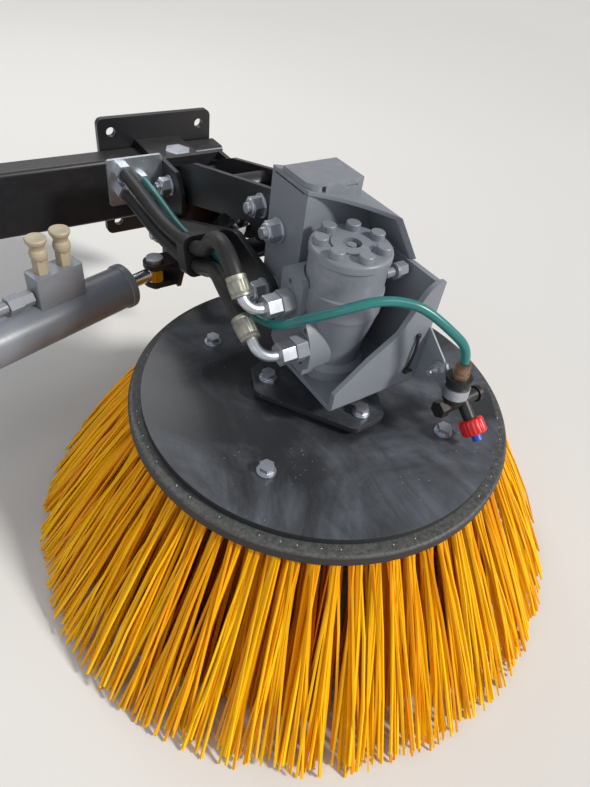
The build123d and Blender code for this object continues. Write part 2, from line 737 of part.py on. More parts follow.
barb_top = Vector(*local((feed_end,))[0])
body_mid = Vector(*local(((feed_end[0], -150, 66),))[0])
spray_root = body_mid + Vector(20, 0, 0)
tip_end = spray_root + Vector(0, -46, -36)
feed_run = (body_mid - barb_top).normalized()
spray_run = (tip_end - spray_root).normalized()
cross_run = Vector(1, 0, 0)

with BuildPart() as nozzle_clip:
    with BuildSketch(Plane(origin=barb_top + feed_run * 36, z_dir=feed_run)):
        Circle(clip_bore + 2.5)
    extrude(amount=15)
    with BuildSketch(side(channel_right - 2 * gusset_thick)):
        for spot, wide in ((clip_bolt, 11), ((-136, 90), 8)):
            with Locations(spot):
                Circle(wide)
        make_hull()
    extrude(amount=gusset_thick)
    for start, end, wide, sides in ((-24, 6, 4, 0), (-14, -6, 8, 6), (0, 6, 8, 6)):
        with BuildSketch(side(channel_right + start)):
            with Locations(clip_bolt):
                if sides:
                    RegularPolygon(wide, sides)
                else:
                    Circle(wide)
        extrude(amount=end - start)
    for start, end, wide in ((16, 66, clip_bore + pin_play), (20, 29.5, clip_bore + 2.5)):
        with BuildSketch(Plane(origin=barb_top + feed_run * start, z_dir=feed_run)):
            Circle(wide)
        extrude(amount=end - start, mode=Mode.SUBTRACT)
save("nozzle_clip", nozzle_clip.part)

# Steps along a line: origin, direction, start, end, radius and number of sides (0 is round)
nozzle_rows = (
    ("nozzle_ferrule", (
        (barb_top, feed_run, 0.3, 22, 9.5, 0),
        (barb_top, feed_run, 14, 22, 11, 0),
    )),
    ("nozzle_body", (
        (barb_top, feed_run, 22, 29, clip_bore + 2, 0),
        (barb_top, feed_run, 29, 58, clip_bore, 0),
        (barb_top, feed_run, 58, 66, 12, 0),
        (body_mid, cross_run, -26, -14, 12, 6),
        (body_mid, cross_run, -14, 44, 9, 0),
        (body_mid, cross_run, 44, 50, 11.5, 0),
        (spray_root, spray_run, 0, 28, 8.5, 0),
    )),
    ("nozzle_cap", (
        (spray_root, spray_run, 28, 50, 15.5, 0),
        (spray_root, spray_run, 28, 33, 16.5, 0),
        (spray_root, spray_run, 33, 48, 17.2, 12),
    )),
    ("nozzle_tip", ((spray_root, spray_run, 50, 59, 6.5, 0),)),
)
for name, steps in nozzle_rows:
    with BuildPart() as nozzle:
        for origin, direction, start, end, radius, sides in steps:
            with BuildSketch(Plane(origin=origin + direction * start, z_dir=direction)):
                if sides:
                    RegularPolygon(radius, sides)
                else:
                    Circle(radius)
            extrude(amount=end - start)
    save(name, nozzle.part)

# Broom: hub, plates, ring and bristle tufts
disc_bolt_angles = (122.2, -148.0, -57.2, 32.3)
hub_bolt_angles = (156.0, -87.6, 33.8)
with BuildPart() as hub:
    with BuildSketch(level(hub_plate_base + hub_plate_thick)):
        Circle(32)
    extrude(amount=shelf_base - 5 - hub_plate_base - hub_plate_thick)
    with BuildSketch(level(shelf_base - 5)):
        Circle(motor_shaft)
    extrude(amount=50)
save("hub", hub.part)

hub_corner = 103.0
corner_half = 26.0
with BuildPart() as hub_plate:
    with BuildSketch(level(hub_plate_base)):
        outline = []
        for angle in sorted(hub_bolt_angles):
            turn = math.radians(angle)
            for offset in (-corner_half, corner_half):
                outline.append((hub_corner * math.cos(turn) - offset * math.sin(turn),
                                hub_corner * math.sin(turn) + offset * math.cos(turn)))
        Polygon(*outline, align=None)
    extrude(amount=hub_plate_thick)
    fillet(hub_plate.edges().filter_by(Axis.Z), 14)
    for angle in hub_bolt_angles:
        turn = math.radians(angle)
        with BuildSketch(level(disc_thick)):
            with Locations((hub_bolt_circle / 2 * math.cos(turn), hub_bolt_circle / 2 * math.sin(turn))):
                Circle(14)
        extrude(amount=hub_plate_base - disc_thick)
save("hub_plate", hub_plate.part)

with BuildPart() as disc_plate:
    with BuildSketch(level(0)):
        Circle(disc_radius)
        Circle(30, mode=Mode.SUBTRACT)
    extrude(amount=disc_thick)
save("disc_plate", disc_plate.part)


def flanged_bolts(name, circle, angles, base):
    """Washer, flange and hexagon head at each angle of a bolt circle."""
    with BuildPart() as bolts:
        for angle in angles:
            turn = math.radians(angle)
            for start, end, wide, sides in ((0, 2.5, 12.5, 0), (2.5, 4.5, 10.8, 0), (4.5, 12, 10.2, 6)):
                with BuildSketch(level(base + start)):
                    with Locations((circle / 2 * math.cos(turn), circle / 2 * math.sin(turn))):
                        if sides:
                            RegularPolygon(wide, sides)
                        else:
                            Circle(wide)
                extrude(amount=end - start)
    save(name, bolts.part)


flanged_bolts("hub_bolts", hub_bolt_circle, hub_bolt_angles, hub_plate_base + hub_plate_thick)
flanged_bolts("disc_bolts", disc_bolt_circle, disc_bolt_angles, disc_thick)

with BuildPart() as brush_ring:
    with BuildSketch(level(-ring_thick)):
        Circle(ring_radius)
        Circle(ring_hole, mode=Mode.SUBTRACT)
    extrude(amount=ring_thick)
    chamfer(brush_ring.edges().group_by(Axis.Z)[-1].sort_by(SortBy.LENGTH)[-1], ring_chamfer)
save("brush_ring", brush_ring.part)

# Each row: tufts, root's distance in from the ring's edge, and how far out the tips reach from there
tuft_rows = (
    ("bristles_outer", 70, 10.0, 156.0),
    ("bristles_middle", 50, 49.0, 131.0),
    ("bristles_inner", 38, 88.0, 110.0),
)
root_half = 5.5
tip_half = (7.0, 15.0)     # along and across the spoke
for name, count, inset, reach in tuft_rows:
    root = ring_radius - inset
    with BuildPart() as tuft:
        for h, out, deep, wide in ((-ring_thick, root, root_half, root_half), (-tip_drop, root + reach, *tip_half)):
            with BuildSketch(Plane(origin=(out, 0, h))):
                Polygon((deep, 0), (deep / 2, wide), (-deep / 2, wide), (-deep, 0), (-deep / 2, -wide),
                        (deep / 2, -wide), align=None)
        loft(ruled=True)
    with BuildPart(level(0)) as row:
        with PolarLocations(0, count, 180 / count):
            add(tuft.part)
    save(name, row.part)


# Cylinders
def cylinder_pair(label, base, span, radius, start, length, rod, play, eye, eye_half, piston_at):
    """Barrel on its base pin and rod with an eye at the far pin, along the base plane's sketch x."""
    run = base.x_dir
    bore = radius - 5
    along = Plane(origin=base.origin + run * start, x_dir=base.z_dir, z_dir=run)
    with BuildPart() as barrel:
        with BuildSketch(base.offset(-eye_half)):
            Circle(eye)
            with Locations((start / 2, 0)):
                Rectangle(start, 2 * eye - 6)
        extrude(amount=2 * eye_half)
        with BuildSketch(along):
            Circle(radius)
        extrude(amount=length)
        with BuildSketch(along.offset(length - 12)):
            Circle(radius + 3)
        extrude(amount=12)
        with BuildSketch(along.offset(10)):
            Circle(bore)
        extrude(amount=length - 22, mode=Mode.SUBTRACT)
        with BuildSketch(along.offset(length - 12)):
            Circle(rod + pin_play)
        extrude(amount=12, mode=Mode.SUBTRACT)
        with BuildSketch(base.offset(-eye_half)):
            Circle(pin_radius + pin_play)
        extrude(amount=2 * eye_half, mode=Mode.SUBTRACT)
    save(label + "_barrel", barrel.part)
    with BuildPart() as ram:
        with BuildSketch(along.offset(piston_at)):
            Circle(bore - pin_play)
        extrude(amount=14)
        with BuildSketch(along.offset(piston_at)):
            Circle(rod)
        extrude(amount=span - start - piston_at - eye + 3)
        with BuildSketch(base.offset(-eye_half)):
            with Locations((span, 0)):
                Circle(eye)
        extrude(amount=2 * eye_half)
        with BuildSketch(base.offset(-eye_half)):
            with Locations((span, 0)):
                Circle(pin_radius + play)
        extrude(amount=2 * eye_half, mode=Mode.SUBTRACT)
    save(label + "_rod", ram.part)


swing_base = Plane(origin=(rear_x, rear_y, eye_z), x_dir=(math.cos(yaw), math.sin(yaw), 0), z_dir=(0, 0, 1))
cylinder_pair("swing", swing_base, swing_span, barrel_radius, 34, 366, rod_radius, eye_drift + pin_play, 20,
              eye_thick / 2, 40)

run = math.radians(link_angle)
lift_far = (root_y - lift_eye[0] * math.cos(run) + lift_eye[1] * math.sin(run),
            root_z + lift_eye[0] * math.sin(run) + lift_eye[1] * math.cos(run))
lift_span = math.dist(lift_base, lift_far)
lift_run = ((lift_far[0] - lift_base[0]) / lift_span, (lift_far[1] - lift_base[1]) / lift_span)
lift_plane = Plane(origin=(0, lift_base[0], lift_base[1]), x_dir=(0, lift_run[0], lift_run[1]), z_dir=(1, 0, 0))
cylinder_pair("lift", lift_plane, lift_span, 22.5, 22, 150, 11, 1.6, 15, lift_eye_half, 40)

with BuildPart() as lift_lug_pin:
    with BuildSketch(Plane.YZ.offset(-lift_eye_half - 2 - plate - 6)):
        with Locations(lift_far):
            Circle(pin_radius)
    extrude(amount=2 * (lift_eye_half + 2 + plate + 6))
save("lift_lug_pin", lift_lug_pin.part)

with BuildPart() as stop_bolt:
    steps = (
        (upper_right + 10, upper_left, pin_radius, 0),
        (upper_left, upper_left - 25, thread_radius, 0),
        (upper_right + 10, upper_right, nut_radius, 6),
        (upper_left, upper_left - 3, washer_radius, 0),
        (upper_left - 3, upper_left - 18, nut_radius, 6),
    )
    for start, end, radius, sides in steps:
        with BuildSketch(along_link(start, root_y, root_z)):
            with Locations(stop_spot):
                if sides:
                    RegularPolygon(radius, sides)
                else:
                    Circle(radius)
        extrude(amount=start - end)
save("stop_bolt", stop_bolt.part)

# Valve block on the swing cylinder, with two quick couplings and a line back to the barrel
block_at = 266.0
block_long = 84.0
block_wide = 36.0
block_high = 58.0
coupling_half = 20.5
line_end = 150.0
line_up = barrel_radius + 18
barrel_run = swing_base.x_dir
block_plane = Plane(origin=swing_base.origin + barrel_run * block_at + Vector(0, 0, barrel_radius - 4),
                    x_dir=barrel_run, z_dir=(0, 0, 1))
with BuildPart() as valve_block:
    with BuildSketch(block_plane):
        RectangleRounded(block_long, block_wide, 3)
    extrude(amount=block_high)
    with BuildSketch(Plane(origin=swing_base.origin + barrel_run * 200, z_dir=barrel_run)):
        Circle(barrel_radius)
    extrude(amount=200, mode=Mode.SUBTRACT)
save("valve_block", valve_block.part)

with BuildPart() as valve_fittings:
    for along in (-coupling_half, coupling_half):
        foot = block_plane.origin + barrel_run * along + Vector(0, 0, block_high)
        with BuildSketch(Plane(origin=foot, x_dir=(1, 0, 0), z_dir=(0, -1, 0))):
            Polygon((0, 22), (11, 22), (13.5, 28), (14, 33), (13, 38), (11, 42), (12, 47), (16, 54), (16.5, 58),
                    (15, 60), (0, 58), align=None)
        revolve(axis=Axis(foot, (0, 0, 1)))
        with BuildSketch(Plane(origin=foot)):
            RegularPolygon(12.5, 6)
        extrude(amount=24)
save("valve_fittings", valve_fittings.part)

with BuildPart() as valve_line:
    for start, end, wide, sides in ((line_end, 178, 9, 0), (178, 200, 15, 6), (200, 220, 13, 6)):
        with BuildSketch(Plane(origin=swing_base.origin + barrel_run * start + Vector(0, 0, line_up), z_dir=barrel_run)):
            if sides:
                RegularPolygon(wide, sides)
            else:
                Circle(wide)
        extrude(amount=end - start)
    elbow_at = swing_base.origin + barrel_run * line_end
    with Locations(elbow_at + Vector(0, 0, line_up)):
        Sphere(12)
    with BuildSketch(Plane(origin=elbow_at + Vector(0, 0, barrel_radius - 6))):
        Circle(9)
    extrude(amount=line_up - barrel_radius + 6)
    with BuildSketch(Plane(origin=elbow_at - barrel_run * 30, z_dir=barrel_run)):
        Circle(barrel_radius)
    extrude(amount=60, mode=Mode.SUBTRACT)
save("valve_line", valve_line.part)
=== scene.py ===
"""Looks of a sweeper's side broom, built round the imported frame. Blender works in metres."""
import json
import math
import random

import bmesh
import bpy
from mathutils import Matrix, Vector


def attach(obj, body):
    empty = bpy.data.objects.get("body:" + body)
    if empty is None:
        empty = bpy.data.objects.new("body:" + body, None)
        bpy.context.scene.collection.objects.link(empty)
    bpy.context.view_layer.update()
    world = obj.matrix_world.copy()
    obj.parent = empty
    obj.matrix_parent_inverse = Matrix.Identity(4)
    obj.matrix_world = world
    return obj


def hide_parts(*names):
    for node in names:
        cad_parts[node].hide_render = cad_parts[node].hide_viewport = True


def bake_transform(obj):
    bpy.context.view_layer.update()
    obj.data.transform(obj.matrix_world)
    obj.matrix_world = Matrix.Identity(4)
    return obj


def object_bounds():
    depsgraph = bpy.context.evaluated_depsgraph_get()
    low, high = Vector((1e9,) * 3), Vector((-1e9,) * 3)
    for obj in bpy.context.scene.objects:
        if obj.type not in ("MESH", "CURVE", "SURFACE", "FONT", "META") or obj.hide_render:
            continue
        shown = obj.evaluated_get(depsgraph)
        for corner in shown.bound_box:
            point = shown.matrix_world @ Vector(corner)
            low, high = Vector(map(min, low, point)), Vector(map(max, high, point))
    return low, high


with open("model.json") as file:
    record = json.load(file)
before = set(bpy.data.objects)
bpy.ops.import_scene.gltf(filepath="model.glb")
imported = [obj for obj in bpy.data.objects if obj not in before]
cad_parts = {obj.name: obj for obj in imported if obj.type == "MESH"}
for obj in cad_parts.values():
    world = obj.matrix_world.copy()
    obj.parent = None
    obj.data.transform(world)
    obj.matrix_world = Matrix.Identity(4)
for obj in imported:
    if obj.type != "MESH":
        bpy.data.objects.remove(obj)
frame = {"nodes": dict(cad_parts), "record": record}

cad_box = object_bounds()
nodes = frame["nodes"]
record = frame["record"]
slots = {entry["node"]: entry["material_slot"] for entry in record["subparts"]}
bodies = {node: body for body, held in record["behaviour"]["bodies"].items() for node in held}
scene = bpy.context.scene
AXIS = Vector((-0.0315, -0.652, -0.05))     # motor axis at the brush ring's top


def at(x, y, z):
    """Point given in millimetres from the motor axis and the ring's top."""
    return AXIS + Vector((x, y, z)) / 1000


def linked(name, data):
    """New object in the scene that holds the data."""
    made = bpy.data.objects.new(name, data)
    scene.collection.objects.link(made)
    return made


# Camera, solved from the brush ring's ellipse and the upright motor
SENSOR_WIDTH = LENS_LENGTH = 36.0
CLIP_START = 0.02
CAMERA_POSE = Matrix((
    (0.82892, 0.30782, -0.46706, -0.4685),
    (-0.54619, 0.62558, -0.55706, -1.1154),
    (0.1207, 0.71686, 0.68669, 0.5370),
    (0, 0, 0, 1),
))
camera_data = bpy.data.cameras.new("camera")
camera_data.sensor_fit = "HORIZONTAL"
camera_data.sensor_width = SENSOR_WIDTH
camera_data.lens = LENS_LENGTH
camera_data.clip_start = CLIP_START
camera = linked("camera", camera_data)
camera.matrix_world = CAMERA_POSE
bpy.context.scene.camera = camera
scene.view_settings.view_transform = "Standard"

# Lights: a sun from the camera's right, a cool fill from its left and a white one from behind
SUN_STRENGTH, SUN_SPREAD, SUN_COLOUR = 3.0, math.radians(9), (1.0, 0.975, 0.93)
SUN_RAYS = Vector((-0.50, 0.70, -0.66))
WORLD_COLOUR, WORLD_STRENGTH = (0.86, 0.88, 0.92, 1), 0.42


def facing(direction):
    """Rotation that points a lamp along a direction."""
    return direction.to_track_quat("-Z", "Y").to_euler()


def lamp(name, spot, target, size, power, colour):
    """Square area lamp at a spot, pointed at a target."""
    data = bpy.data.lights.new(name, "AREA")
    data.shape = "SQUARE"
    data.size = size
    data.energy = power
    data.color = colour
    made = linked(name, data)
    made.location = spot
    made.rotation_euler = facing(Vector(target) - Vector(spot))


sun = bpy.data.lights.new("key", "SUN")
sun.energy = SUN_STRENGTH
sun.angle = SUN_SPREAD
sun.color = SUN_COLOUR
linked("key", sun).rotation_euler = facing(SUN_RAYS)
lamp("fill", spot=(-2.2, -1.6, 1.6), target=(0, -0.5, -0.1), size=1.8, power=12,
     colour=(0.93, 0.96, 1.0))
lamp("back", spot=(0.2, 1.7, 1.9), target=(0, -0.4, 0), size=1.2, power=14,
     colour=(1.0, 1.0, 1.0))

world = bpy.data.worlds.new("world")
scene.world = world
world.use_nodes = True
background = world.node_tree.nodes["Background"]
background.inputs["Color"].default_value = WORLD_COLOUR
background.inputs["Strength"].default_value = WORLD_STRENGTH

# Floor, just under the lowest bristle
FLOOR_REACH, FLOOR_GAP = 8, 0.0005
floor_z = cad_box[0][2] - FLOOR_GAP
floor_corners = [(x * FLOOR_REACH, y * FLOOR_REACH, floor_z)
                 for x, y in ((-1, -1), (1, -1), (1, 1), (-1, 1))]
floor_mesh = bpy.data.meshes.new("floor")
floor_mesh.from_pydata(floor_corners, [], [(0, 1, 2, 3)])
floor = linked("floor", floor_mesh)


# Materials
class Nodes:
    """Short way to add and wire the shader nodes of one material."""

    MIX_SHARE, MIX_A, MIX_B, MIX_RESULT = 0, 6, 7, 2    # the Mix node's colour sockets

    def __init__(self, name):
        self.material = bpy.data.materials.new(name)
        self.material.use_nodes = True
        self.tree = self.material.node_tree
        self.shader = self.tree.nodes["Principled BSDF"]
        self.coordinates = self.tree.nodes.new("ShaderNodeTexCoord").outputs["Object"]

    def add(self, kind, inputs=(), **settings):
        node = self.tree.nodes.new("ShaderNode" + kind)
        for key, value in settings.items():
            setattr(node, key, value)
        for key, value in dict(inputs).items():
            self.put(node, key, value)
        return node

    def put(self, node, key, value):
        """Wire a socket to the input, or set the input to a plain value."""
        if isinstance(value, bpy.types.NodeSocket):
            self.tree.links.new(value, node.inputs[key])
        else:
            node.inputs[key].default_value = value

    def noise(self, scale, detail, rough, stretch=None, warp=0.0):
        vector = self.coordinates
        if stretch:
            vector = self.add("Mapping", {"Vector": vector, "Scale": stretch}).outputs["Vector"]
        inputs = {"Vector": vector, "Scale": scale, "Detail": detail, "Roughness": rough,
                  "Distortion": warp}
        return self.add("TexNoise", inputs).outputs["Fac"]

    def ramp(self, value, low, high):
        """0 below low, 1 above high and straight between them."""
        inputs = {"Value": value, "From Min": low, "From Max": high}
        return self.add("MapRange", inputs).outputs["Result"]

    def math(self, operation, a, b):
        node = self.add("Math", operation=operation)
        self.put(node, 0, a)
        self.put(node, 1, b)
        return node.outputs[0]

    def times(self, a, b):
        return self.math("MULTIPLY", a, b)

    def plus(self, a, b):
        return self.math("ADD", a, b)

    def mix(self, share, a, b):
        """Colour between a and b, each a socket or a plain colour."""
        node = self.add("Mix", data_type="RGBA")
        self.put(node, self.MIX_SHARE, share)
        for key, value in ((self.MIX_A, a), (self.MIX_B, b)):
            self.put(node, key, value if isinstance(value, bpy.types.NodeSocket) else (*value, 1))
        return node.outputs[self.MIX_RESULT]

    def facing_up(self):
        normal = self.add("NewGeometry").outputs["Normal"]
        return self.math("MAXIMUM", self.add("SeparateXYZ", {"Vector": normal}).outputs["Z"], 0.0)

    def edges(self):
        return self.ramp(self.add("NewGeometry").outputs["Pointiness"], low=0.53, high=0.6)

    def bump(self, height, distance, strength):
        node = self.add("Bump", {"Height": height, "Distance": distance, "Strength": strength})
        self.put(self.shader, "Normal", node.outputs["Normal"])

    def finish(self, **inputs):
        for key, value in inputs.items():
            self.put(self.shader, key.replace("_", " "), value)
        return self.material


def toned(colour, factor):
    """Colour made darker or lighter, up to white."""
    return [min(1, channel * factor) for channel in colour]


def painted(name, colour, dust, dust_share, bare):
    """Enamel with orange peel, settled dust, grit and rubbed edges."""
    grit_share, rub_share, peel_height, grain_height = 0.12, 0.4, 0.7, 0.5
    clean_roughness, grain_roughness, dust_roughness = 0.30, 0.14, 0.3
    n = Nodes(name)
    broad = n.noise(scale=5, detail=3, rough=0.5)
    fine = n.noise(scale=190, detail=3, rough=0.6)
    shade = n.mix(n.ramp(broad, low=0.3, high=0.7), toned(colour, 0.92), toned(colour, 1.06))
    patches = n.ramp(n.noise(scale=13, detail=7, rough=0.72), low=0.35, high=0.85)
    settled = n.times(n.math("POWER", n.facing_up(), 2.0), patches)
    settled = n.times(settled, dust_share)
    shade = n.mix(settled, shade, dust)
    grit = n.ramp(n.noise(scale=420, detail=2, rough=0.6), low=0.66, high=0.74)
    shade = n.mix(n.times(grit, grit_share), shade, dust)
    rubbed = n.times(n.edges(), n.ramp(n.noise(scale=70, detail=4, rough=0.6), low=0.5, high=0.62))
    shade = n.mix(n.times(rubbed, rub_share), shade, bare)
    peel = n.times(n.noise(scale=90, detail=2, rough=0.5), peel_height)
    n.bump(n.plus(peel, n.times(fine, grain_height)), distance=0.00025, strength=0.3)
    roughness = n.plus(n.times(fine, grain_roughness), n.times(settled, dust_roughness))
    return n.finish(Base_Color=shade, Roughness=n.plus(roughness, clean_roughness))


def metal(name, colour, rough, stain, grain=260.0, metallic=1.0):
    """Bare or plated metal with cloudy stains and a fine grain."""
    cloud_roughness, polish = 0.2, 0.05
    n = Nodes(name)
    cloud = n.noise(scale=45, detail=4, rough=0.6)
    fine = n.noise(scale=grain, detail=3, rough=0.65)
    n.bump(fine, distance=0.0002, strength=0.25)
    shade = n.mix(n.ramp(cloud, low=0.45, high=0.75), colour, stain)
    roughness = n.plus(n.times(cloud, cloud_roughness), rough - polish)
    return n.finish(Base_Color=shade, Roughness=roughness, Metallic=metallic)


def disc_material():
    """Black enamel with pale smears on its top, partly real and partly painted light, a little dust
    and small chips.
    """
    dark, lighter = (0.020, 0.0215, 0.025), (0.033, 0.035, 0.039)
    smear_and_light_grey, dusty, chipped = (0.128, 0.143, 0.170), (0.22, 0.21, 0.19), (0.34, 0.34, 0.34)
    smear_and_light_share, dust_share, chip_share, chip_size = 0.85, 0.10, 0.5, 0.11
    clean_roughness, smear_roughness = 0.30, 0.25
    n = Nodes("disc_paint")
    smear = n.noise(scale=3.6, detail=6, rough=0.6, warp=1.4)
    streak = n.noise(scale=9, detail=7, rough=0.72, stretch=(1.3, 0.4, 1.0), warp=2.4)
    broad = n.ramp(n.noise(scale=6, detail=3, rough=0.5), low=0.3, high=0.8)
    # Pale film on up-facing faces: real smears, made stronger as painted light on the lit top.
    smear_and_light = n.times(n.ramp(smear, low=0.44, high=0.60), n.ramp(streak, low=0.25, high=0.62))
    smear_and_light = n.times(smear_and_light, n.facing_up())
    shade = n.mix(n.times(smear_and_light, smear_and_light_share), n.mix(broad, dark, lighter), smear_and_light_grey)
    grains = n.ramp(n.noise(scale=300, detail=3, rough=0.7), low=0.52, high=0.8)
    settled = n.times(n.facing_up(), grains)
    shade = n.mix(n.times(settled, dust_share), shade, dusty)
    cells = n.add("TexVoronoi", {"Vector": n.coordinates, "Scale": 105.0}).outputs["Distance"]
    patches = n.ramp(n.noise(scale=14, detail=3, rough=0.6), low=0.54, high=0.62)
    chips = n.times(n.math("LESS_THAN", cells, chip_size), patches)
    shade = n.mix(n.times(chips, chip_share), shade, chipped)
    n.bump(n.noise(scale=140, detail=3, rough=0.6), distance=0.0002, strength=0.2)
    roughness = n.plus(n.times(smear_and_light, smear_roughness), clean_roughness)
    return n.finish(Base_Color=shade, Roughness=roughness)


def ring_material():
    """Black plastic, pale grey where it faces up: partly dust, partly a painted highlight."""
    black, dust_and_highlight_grey, dust_and_highlight_share = (0.020, 0.021, 0.023), (0.150, 0.148, 0.142), 0.85
    n = Nodes("ring_plastic")
    powder = n.ramp(n.noise(scale=210, detail=8, rough=0.85), low=0.36, high=0.64)
    # Pale grain on up-facing faces: real dust and a painted highlight of the lit top and chamfer.
    dust_and_highlight = n.times(n.ramp(n.facing_up(), low=0.1, high=0.8), powder)
    shade = n.mix(n.times(dust_and_highlight, dust_and_highlight_share), black, dust_and_highlight_grey)
    n.bump(n.noise(scale=240, detail=3, rough=0.7), distance=0.0003, strength=0.4)
    return n.finish(Base_Color=shade, Roughness=0.6)


def bristle_material():
    """Orange-yellow filament: each one has its own tone between painted lit and shaded colours, and
    all are darker at the root as a painted shadow.
    """
    # Painted light and shade: the filament's colour lit, the same in shade, and the colour of the
    # painted root shadow.
    lit_yellow, shaded_orange, dark = (1.0, 0.56, 0.005), (0.76, 0.19, 0.003), (0.52, 0.12, 0.003)
    root_shade_share = 0.4
    n = Nodes("bristle")
    tone = n.add("Attribute", attribute_name="tone").outputs["Fac"]
    # Painted shadow of the ring over the filaments' roots.
    root_shade = n.add("Attribute", attribute_name="root_shade").outputs["Fac"]
    # The tone picks between the painted lit and shaded colours, and the root end gets painted
    # shadow.
    shade = n.mix(n.times(root_shade, root_shade_share), n.mix(tone, shaded_orange, lit_yellow), dark)
    lengthwise = n.noise(scale=500, detail=2, rough=0.5, stretch=(1, 1, 0.1))
    n.bump(lengthwise, distance=0.0001, strength=0.25)
    return n.finish(Base_Color=shade, Roughness=0.42, Specular_IOR_Level=0.12,
                    Subsurface_Weight=0.1, Subsurface_Scale=0.003,
                    Subsurface_Radius=(1.0, 0.45, 0.05))


def plastic(name, colour, rough, dusty):
    """Moulded plastic or rubber with a fine grain and some dust on top."""
    dust, grain_roughness = (0.20, 0.185, 0.165), 0.15
    n = Nodes(name)
    fine = n.noise(scale=200, detail=3, rough=0.6)
    patches = n.ramp(n.noise(scale=40, detail=5, rough=0.7), low=0.45, high=0.75)
    settled = n.times(n.facing_up(), n.times(patches, dusty))
    broad = n.ramp(n.noise(scale=22, detail=4, rough=0.6), low=0.35, high=0.7)
    shade = n.mix(settled, n.mix(broad, toned(colour, 0.85), colour), dust)
    n.bump(fine, distance=0.0002, strength=0.25)
    return n.finish(Base_Color=shade, Roughness=n.plus(n.times(fine, grain_roughness), rough))


crimp_plate = metal("crimp_plate", (0.40, 0.40, 0.34), rough=0.48, stain=(0.20, 0.20, 0.17))
slot_looks = {
    "grey_paint": painted("grey_paint", (0.205, 0.222, 0.256), dust=(0.29, 0.295, 0.305),
                          dust_share=0.25, bare=(0.33, 0.34, 0.36)),
    "black_paint": painted("black_paint", (0.0135, 0.0140, 0.0165), dust=(0.085, 0.078, 0.068),
                           dust_share=0.4, bare=(0.06, 0.06, 0.06)),
    "disc_paint": disc_material(),
    "zinc": metal("zinc", (0.58, 0.61, 0.66), rough=0.40, stain=(0.40, 0.42, 0.46)),
    "steel": metal("chrome_rod", (0.72, 0.72, 0.73), rough=0.10, stain=(0.60, 0.60, 0.60),
                   grain=400),
    "brown_brass": metal("brown_brass", (0.34, 0.22, 0.15), rough=0.45, stain=(0.11, 0.06, 0.04),
                         metallic=0.85),
    "ring_plastic": ring_material(),
    "bristle": bristle_material(),
    "hose_rubber": plastic("hose_rubber", (0.013, 0.013, 0.014), rough=0.40, dusty=0.12),
    "tube_teal": plastic("tube_teal", (0.028, 0.205, 0.195), rough=0.24, dusty=0.05),
    "black_plastic": plastic("black_plastic", (0.012, 0.012, 0.013), rough=0.38, dusty=0.12),
    "red_plastic": plastic("red_plastic", (0.72, 0.016, 0.020), rough=0.30, dusty=0.04),
    "blue_plastic": plastic("blue_plastic", (0.015, 0.10, 0.55), rough=0.34, dusty=0.05),
    "pale_plastic": plastic("pale_plastic", (0.46, 0.40, 0.28), rough=0.45, dusty=0.15),
}
for node, slot in slots.items():
    nodes[node].data.materials.clear()
    nodes[node].data.materials.append(slot_looks[slot])

floor_look = Nodes("floor_look")
floor_grain = floor_look.noise(scale=0.8, detail=3, rough=0.5)
floor_tone = floor_look.mix(floor_grain, (0.70, 0.69, 0.67), (0.74, 0.73, 0.71))
floor.data.materials.append(floor_look.finish(Base_Color=floor_tone, Roughness=0.9))


# Mesh helpers
def piece(name, mesh, slot, body=None, look=None, smooth=True):
    """New piece in its slot's look or the look given, attached to the body that it names; one that
    names no body is left unattached.
    """
    made = linked(name, mesh)
    mesh.materials.append(look or slot_looks[slot])
    if smooth:
        mesh.shade_smooth()
    if body:
        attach(made, body)
    return made


def tube_faces(base, rings, sides):
    """Faces between rings of vertices, the first of which starts at base."""
    faces = []
    for ring in range(rings - 1):
        for k in range(sides):
            a, b = base + ring * sides + k, base + ring * sides + (k + 1) % sides
            faces.append((a, b, b + sides, a + sides))
    return faces


LINE_BEVEL_STEPS, LINE_STEPS = 5, 12


def line_mesh(name, points, radius):
    """Smooth round line on a spline whose control points are given."""
    curve = bpy.data.curves.new(name, "CURVE")
    curve.dimensions = "3D"
    curve.bevel_depth = radius
    curve.bevel_resolution = LINE_BEVEL_STEPS
    curve.use_fill_caps = True
    curve.resolution_u = LINE_STEPS
    spline = curve.splines.new("NURBS")
    spline.points.add(len(points) - 1)
    for target, point in zip(spline.points, points):
        target.co = (*point, 1)
    spline.order_u = 3
    spline.use_endpoint_u = True
    holder = linked(name, curve)
    bpy.context.view_layer.update()
    evaluated = holder.evaluated_get(bpy.context.evaluated_depsgraph_get())
    mesh = bpy.data.meshes.new_from_object(evaluated)
    bpy.data.objects.remove(holder)
    bpy.data.curves.remove(curve)
    mesh.name = name
    return mesh


